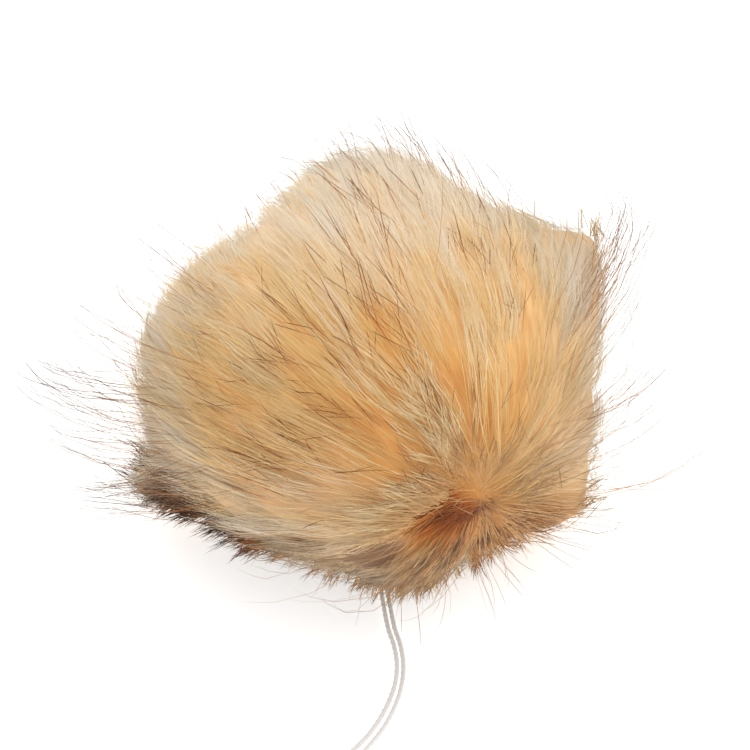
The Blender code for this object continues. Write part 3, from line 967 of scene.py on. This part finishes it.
def spike_paths(chance):
    """Short hairs that come out of the pile's surface, each bunch drawn together at its tip."""
    paths = []
    tones = []
    for _name, right, up, spread, spikes, hairs, shortest, longest, lift, tone in SPIKES:
        place = guard_direction(right, up)
        middles = unit(place + chance.normal(0.0, math.radians(spread) * 0.8, (spikes, 3)))
        lay = unit((middles @ WHORL)[:, None] * middles - WHORL)
        swerve = np.radians(chance.normal(0.0, SPIKE_SWERVE, spikes) + swerve_field(middles))
        lay = turned(lay, middles, swerve)
        rise = np.radians(lift * chance.uniform(0.6, 1.5, spikes))[:, None]
        heading = lay * np.cos(rise) + middles * np.sin(rise)
        length = chance.uniform(shortest, longest, spikes)[:, None]
        start = middles * (pile_distance(middles) * SPIKE_ROOT)[:, None] + BALL_CENTRE
        end = start + heading * length
        for _hair in range(hairs):
            apart = SPIKE_FEET_APART[hairs > 3]
            foot = start + chance.normal(0.0, apart, (spikes, 3))
            tip = end + chance.normal(0.0, apart * 0.7, (spikes, 3))
            tip = tip + heading * length * chance.normal(0.0, 0.15, (spikes, 1))
            bow = lay * length * chance.uniform(0.0, 0.12, (spikes, 1))
            steps = SPIKE_STEPS[None, :, None]
            line = foot[:, None] * (1.0 - steps) + tip[:, None] * steps
            paths.append(line + bow[:, None] * steps * (1.0 - steps) * 2.0)
            tones.append(chance.normal(tone, 0.04 + 0.06 * tone, spikes))
    return np.concatenate(paths), np.concatenate(tones)


def grow_hairs(name, paths, tones, widths, radius, chance, material):
    count, rings, _ = paths.shape
    radii = radius * widths[None] * chance.uniform(0.6, 1.3, (count, 1))
    paths[:, :, 2] = press_on_floor(paths[:, :, 2]) + radii.max()
    spins = chance.uniform(0.0, math.tau, count)
    tones = np.repeat(np.clip(tones, 0.01, 0.99)[:, None], rings, 1)
    leans = np.zeros((count, 3))
    piece = strand_mesh(name, paths, radii, tones, travel_shares(paths), spins, leans, material)
    piece.visible_shadow = False


def grow_guard_hairs(material):
    chance = np.random.default_rng(19)
    grow_hairs("guard_hairs", *guard_paths(chance), GUARD_WIDTHS, GUARD_RADIUS, chance, material)
    grow_hairs("short_spikes", *spike_paths(chance), SPIKE_WIDTHS, SPIKE_RADIUS, chance, material)


# Dense underfur, one closed surface that the long hairs come out of

UNDERFUR_SHARE = 0.855
UNDERFUR_ROWS = 170
UNDERFUR_COLUMNS = 400


def make_underfur(material):
    chance = np.random.default_rng(31)
    side = unit(np.cross(WHORL, (0.0, 0.0, 1.0)))
    lift = np.cross(WHORL, side)
    apart = math.pi * np.linspace(0.0, 1.0, UNDERFUR_ROWS + 1)
    around = math.tau * np.arange(UNDERFUR_COLUMNS) / UNDERFUR_COLUMNS
    apart_all, around_all = np.meshgrid(apart[1:-1], around, indexing="ij")
    apart_all = np.concatenate(([0.0], apart_all.ravel(), [math.pi]))
    around_all = np.concatenate(([0.0], around_all.ravel(), [0.0]))
    directions = (np.cos(apart_all)[:, None] * WHORL
                  + np.sin(apart_all)[:, None] * (np.cos(around_all)[:, None] * side
                                                  + np.sin(around_all)[:, None] * lift))
    ridges = 0.012 * streak_noise(around_all, apart_all, 9.0, 2.2, chance)
    ridges += 0.006 * streak_noise(around_all, apart_all, 22.0, 5.0, chance)
    ridges *= np.clip(apart_all / 0.6, 0.0, 1.0)
    distance = pile_distance(directions) * (UNDERFUR_SHARE + ridges)
    pinch = nearness(directions, WHORL, WHORL_RISE_SPREAD * 0.8)
    distance = distance * (1.0 - pinch) + np.minimum(distance, skin_distance(directions)) * pinch
    points = BALL_CENTRE + directions * distance[:, None]
    points[:, 2] = press_on_floor(points[:, 2])
    faces = []
    places = []
    last = len(points) - 1

    def spot(row, column):
        if row == 0:
            return 0
        if row == UNDERFUR_ROWS:
            return last
        return 1 + (row - 1) * UNDERFUR_COLUMNS + column % UNDERFUR_COLUMNS

    for row in range(UNDERFUR_ROWS):
        for column in range(UNDERFUR_COLUMNS):
            corners = [(row, column), (row, column + 1), (row + 1, column + 1), (row + 1, column)]
            if row == 0:
                corners = [(0, column), (1, column + 1), (1, column)]
            elif row == UNDERFUR_ROWS - 1:
                corners = [(row, column), (row, column + 1), (row + 1, column)]
            faces.append([spot(*corner) for corner in corners])
            places += [(c / UNDERFUR_COLUMNS, r / UNDERFUR_ROWS) for r, c in corners]
    mesh = bpy.data.meshes.new("underfur")
    mesh.from_pydata(points.tolist(), [], faces)
    chart = mesh.uv_layers.new(name="OFBake")
    chart.data.foreach_set("uv", np.array(places, np.float32).ravel())
    # The underfur carries the pile's tone and its painted shade
    for label, values in (("tone", tone_field(directions)), ("painted_shade", painted_shade_field(directions))):
        layer = mesh.attributes.new(label, "FLOAT", "POINT")
        layer.data.foreach_set("value", np.clip(values, 0.01, 0.99).astype(np.float32))
    mesh.shade_smooth()
    mesh.materials.append(material)
    piece = bpy.data.objects.new("underfur", mesh)
    bpy.context.scene.collection.objects.link(piece)
    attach(piece, "root")
    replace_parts(piece, "pompom")


def make_streak_group():
    """Fine lines that run away from the whorl, from the map's two coordinates."""
    group, inside, outside = new_group(
        "combed_streaks",
        [("Around", FLOAT, 0.5), ("Along", FLOAT, 0.5), ("Lines", FLOAT, 60.0), ("Breaks", FLOAT, 8.0)],
        [("Streak", FLOAT)],
    )
    put = inside.outputs
    angle = math_node(group, "MULTIPLY", put["Around"], math.tau)
    place = group.nodes.new("ShaderNodeCombineXYZ")
    for index, operation in enumerate(("COSINE", "SINE")):
        swing = math_node(group, operation, angle, 0.0)
        group.links.new(math_node(group, "MULTIPLY", swing, put["Lines"]), place.inputs[index])
    group.links.new(math_node(group, "MULTIPLY", put["Along"], put["Breaks"]), place.inputs[2])
    noise = group.nodes.new("ShaderNodeTexNoise")
    noise.inputs["Scale"].default_value = 1.0
    noise.inputs["Detail"].default_value = 2.0
    group.links.new(place.outputs[0], noise.inputs["Vector"])
    group.links.new(noise.outputs["Fac"], outside.inputs["Streak"])
    return group


def underfur_material(hair_colour, streaks):
    material = bpy.data.materials.new("underfur_nap")
    material.use_nodes = True
    tree = material.node_tree
    shader = tree.nodes["Principled BSDF"]
    chart = tree.nodes.new("ShaderNodeUVMap")
    chart.uv_map = "OFBake"
    split = tree.nodes.new("ShaderNodeSeparateXYZ")
    tree.links.new(chart.outputs[0], split.inputs[0])
    tone = tree.nodes.new("ShaderNodeAttribute")
    tone.attribute_name = "tone"
    # Painted shade, read from the mesh
    painted_shade = tree.nodes.new("ShaderNodeAttribute")
    painted_shade.attribute_name = "painted_shade"
    values = []
    for lines, breaks in ((26.0, 14.0), (90.0, 40.0)):
        streak = tree.nodes.new("ShaderNodeGroup")
        streak.node_tree = streaks
        tree.links.new(split.outputs[0], streak.inputs["Around"])
        tree.links.new(split.outputs[1], streak.inputs["Along"])
        streak.inputs["Lines"].default_value = lines
        streak.inputs["Breaks"].default_value = breaks
        values.append(streak.outputs["Streak"])
    hair = tree.nodes.new("ShaderNodeGroup")
    hair.node_tree = hair_colour
    for column, label in enumerate(("Shade", "Root", "Body", "Tip"), 1):
        stops = [(row[0], row[column]) for row in PILE_PALETTE]
        tree.links.new(colour_ramp(tree, tone.outputs["Fac"], stops), hair.inputs[label])
    wide = math_node(tree, "MULTIPLY", values[0], 0.60)
    fine = math_node(tree, "MULTIPLY", values[1], 0.40)
    # The underfur is painted darker by the pile's painted shade
    light = math_node(tree, "SUBTRACT", math_node(tree, "ADD", wide, fine), painted_shade.outputs["Fac"])
    tree.links.new(tone.outputs["Fac"], hair.inputs["Tone"])
    tree.links.new(light, hair.inputs["Light"])
    hair.inputs["Root Ends"].default_value = 0.75
    hair.inputs["Tip Starts"].default_value = 0.70
    hair.inputs["Fleck"].default_value = 0.1
    tree.links.new(hair.outputs["Colour"], shader.inputs["Base Color"])
    bump = tree.nodes.new("ShaderNodeBump")
    bump.inputs["Strength"].default_value = 0.35
    bump.inputs["Distance"].default_value = 0.0006
    tree.links.new(values[1], bump.inputs["Height"])
    tree.links.new(bump.outputs[0], shader.inputs["Normal"])
    set_roughness(tree, shader, hair, 0.7)
    shader.inputs["Sheen Weight"].default_value = 0.15
    shader.inputs["Specular IOR Level"].default_value = 0.15
    return material


# Floor and light

FLOOR_SIZE = 6.0
FLOOR_GLOW = 0.50
SKY_STRENGTH = 0.68
LAMP_SIZE = 1.2
LAMP_TARGET = Vector((0.0, 0.0, 0.04))
LAMPS = (
    # name, place, power in watts
    ("key_light", (0.05, 0.50, 1.0), 5.7),
    ("fill_light", (0.7, -0.75, 0.85), 2.2),
)


def make_stage():
    bpy.ops.mesh.primitive_plane_add(size=FLOOR_SIZE)
    floor = bpy.context.object
    floor.name = "floor"
    material = bpy.data.materials.new("white_board")
    material.use_nodes = True
    shader = material.node_tree.nodes["Principled BSDF"]
    shader.inputs["Base Color"].default_value = (0.9, 0.9, 0.9, 1.0)
    shader.inputs["Roughness"].default_value = 0.9
    shader.inputs["Emission Color"].default_value = (1.0, 1.0, 1.0, 1.0)
    shader.inputs["Emission Strength"].default_value = FLOOR_GLOW
    floor.data.materials.append(material)
    world = bpy.data.worlds.new("studio")
    bpy.context.scene.world = world
    world.use_nodes = True
    sky = world.node_tree.nodes["Background"]
    sky.inputs[0].default_value = (1.0, 1.0, 1.0, 1.0)
    sky.inputs[1].default_value = SKY_STRENGTH
    for name, place, energy in LAMPS:
        data = bpy.data.lights.new(name, "AREA")
        data.size = LAMP_SIZE
        data.energy = energy
        lamp = bpy.data.objects.new(name, data)
        lamp.location = place
        lamp.rotation_euler = (LAMP_TARGET - Vector(place)).to_track_quat("-Z", "Y").to_euler()
        bpy.context.scene.collection.objects.link(lamp)
    bpy.context.scene.view_settings.view_transform = "Standard"


make_camera()
cotton = cotton_material()
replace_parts(make_tie("cotton_tie_a", TIE_A_ROUTE, 0.0, cotton), "tie_a")
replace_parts(make_tie("cotton_tie_b", TIE_B_ROUTE, 1.1, cotton), "tie_b")
hair_colour = make_hair_colour_group()
pile_hair = hair_material("pile_hair", hair_colour, PILE_PALETTE, 0.75, 0.70, 0.15, 0.7, 0.15)
guard_hair = hair_material("guard_hair", hair_colour, GUARD_PALETTE, 0.6, 0.5, 0.2, 0.75, 0.0)
make_underfur(underfur_material(hair_colour, make_streak_group()))
grow_pile(pile_hair)
grow_guard_hairs(guard_hair)
make_stage()
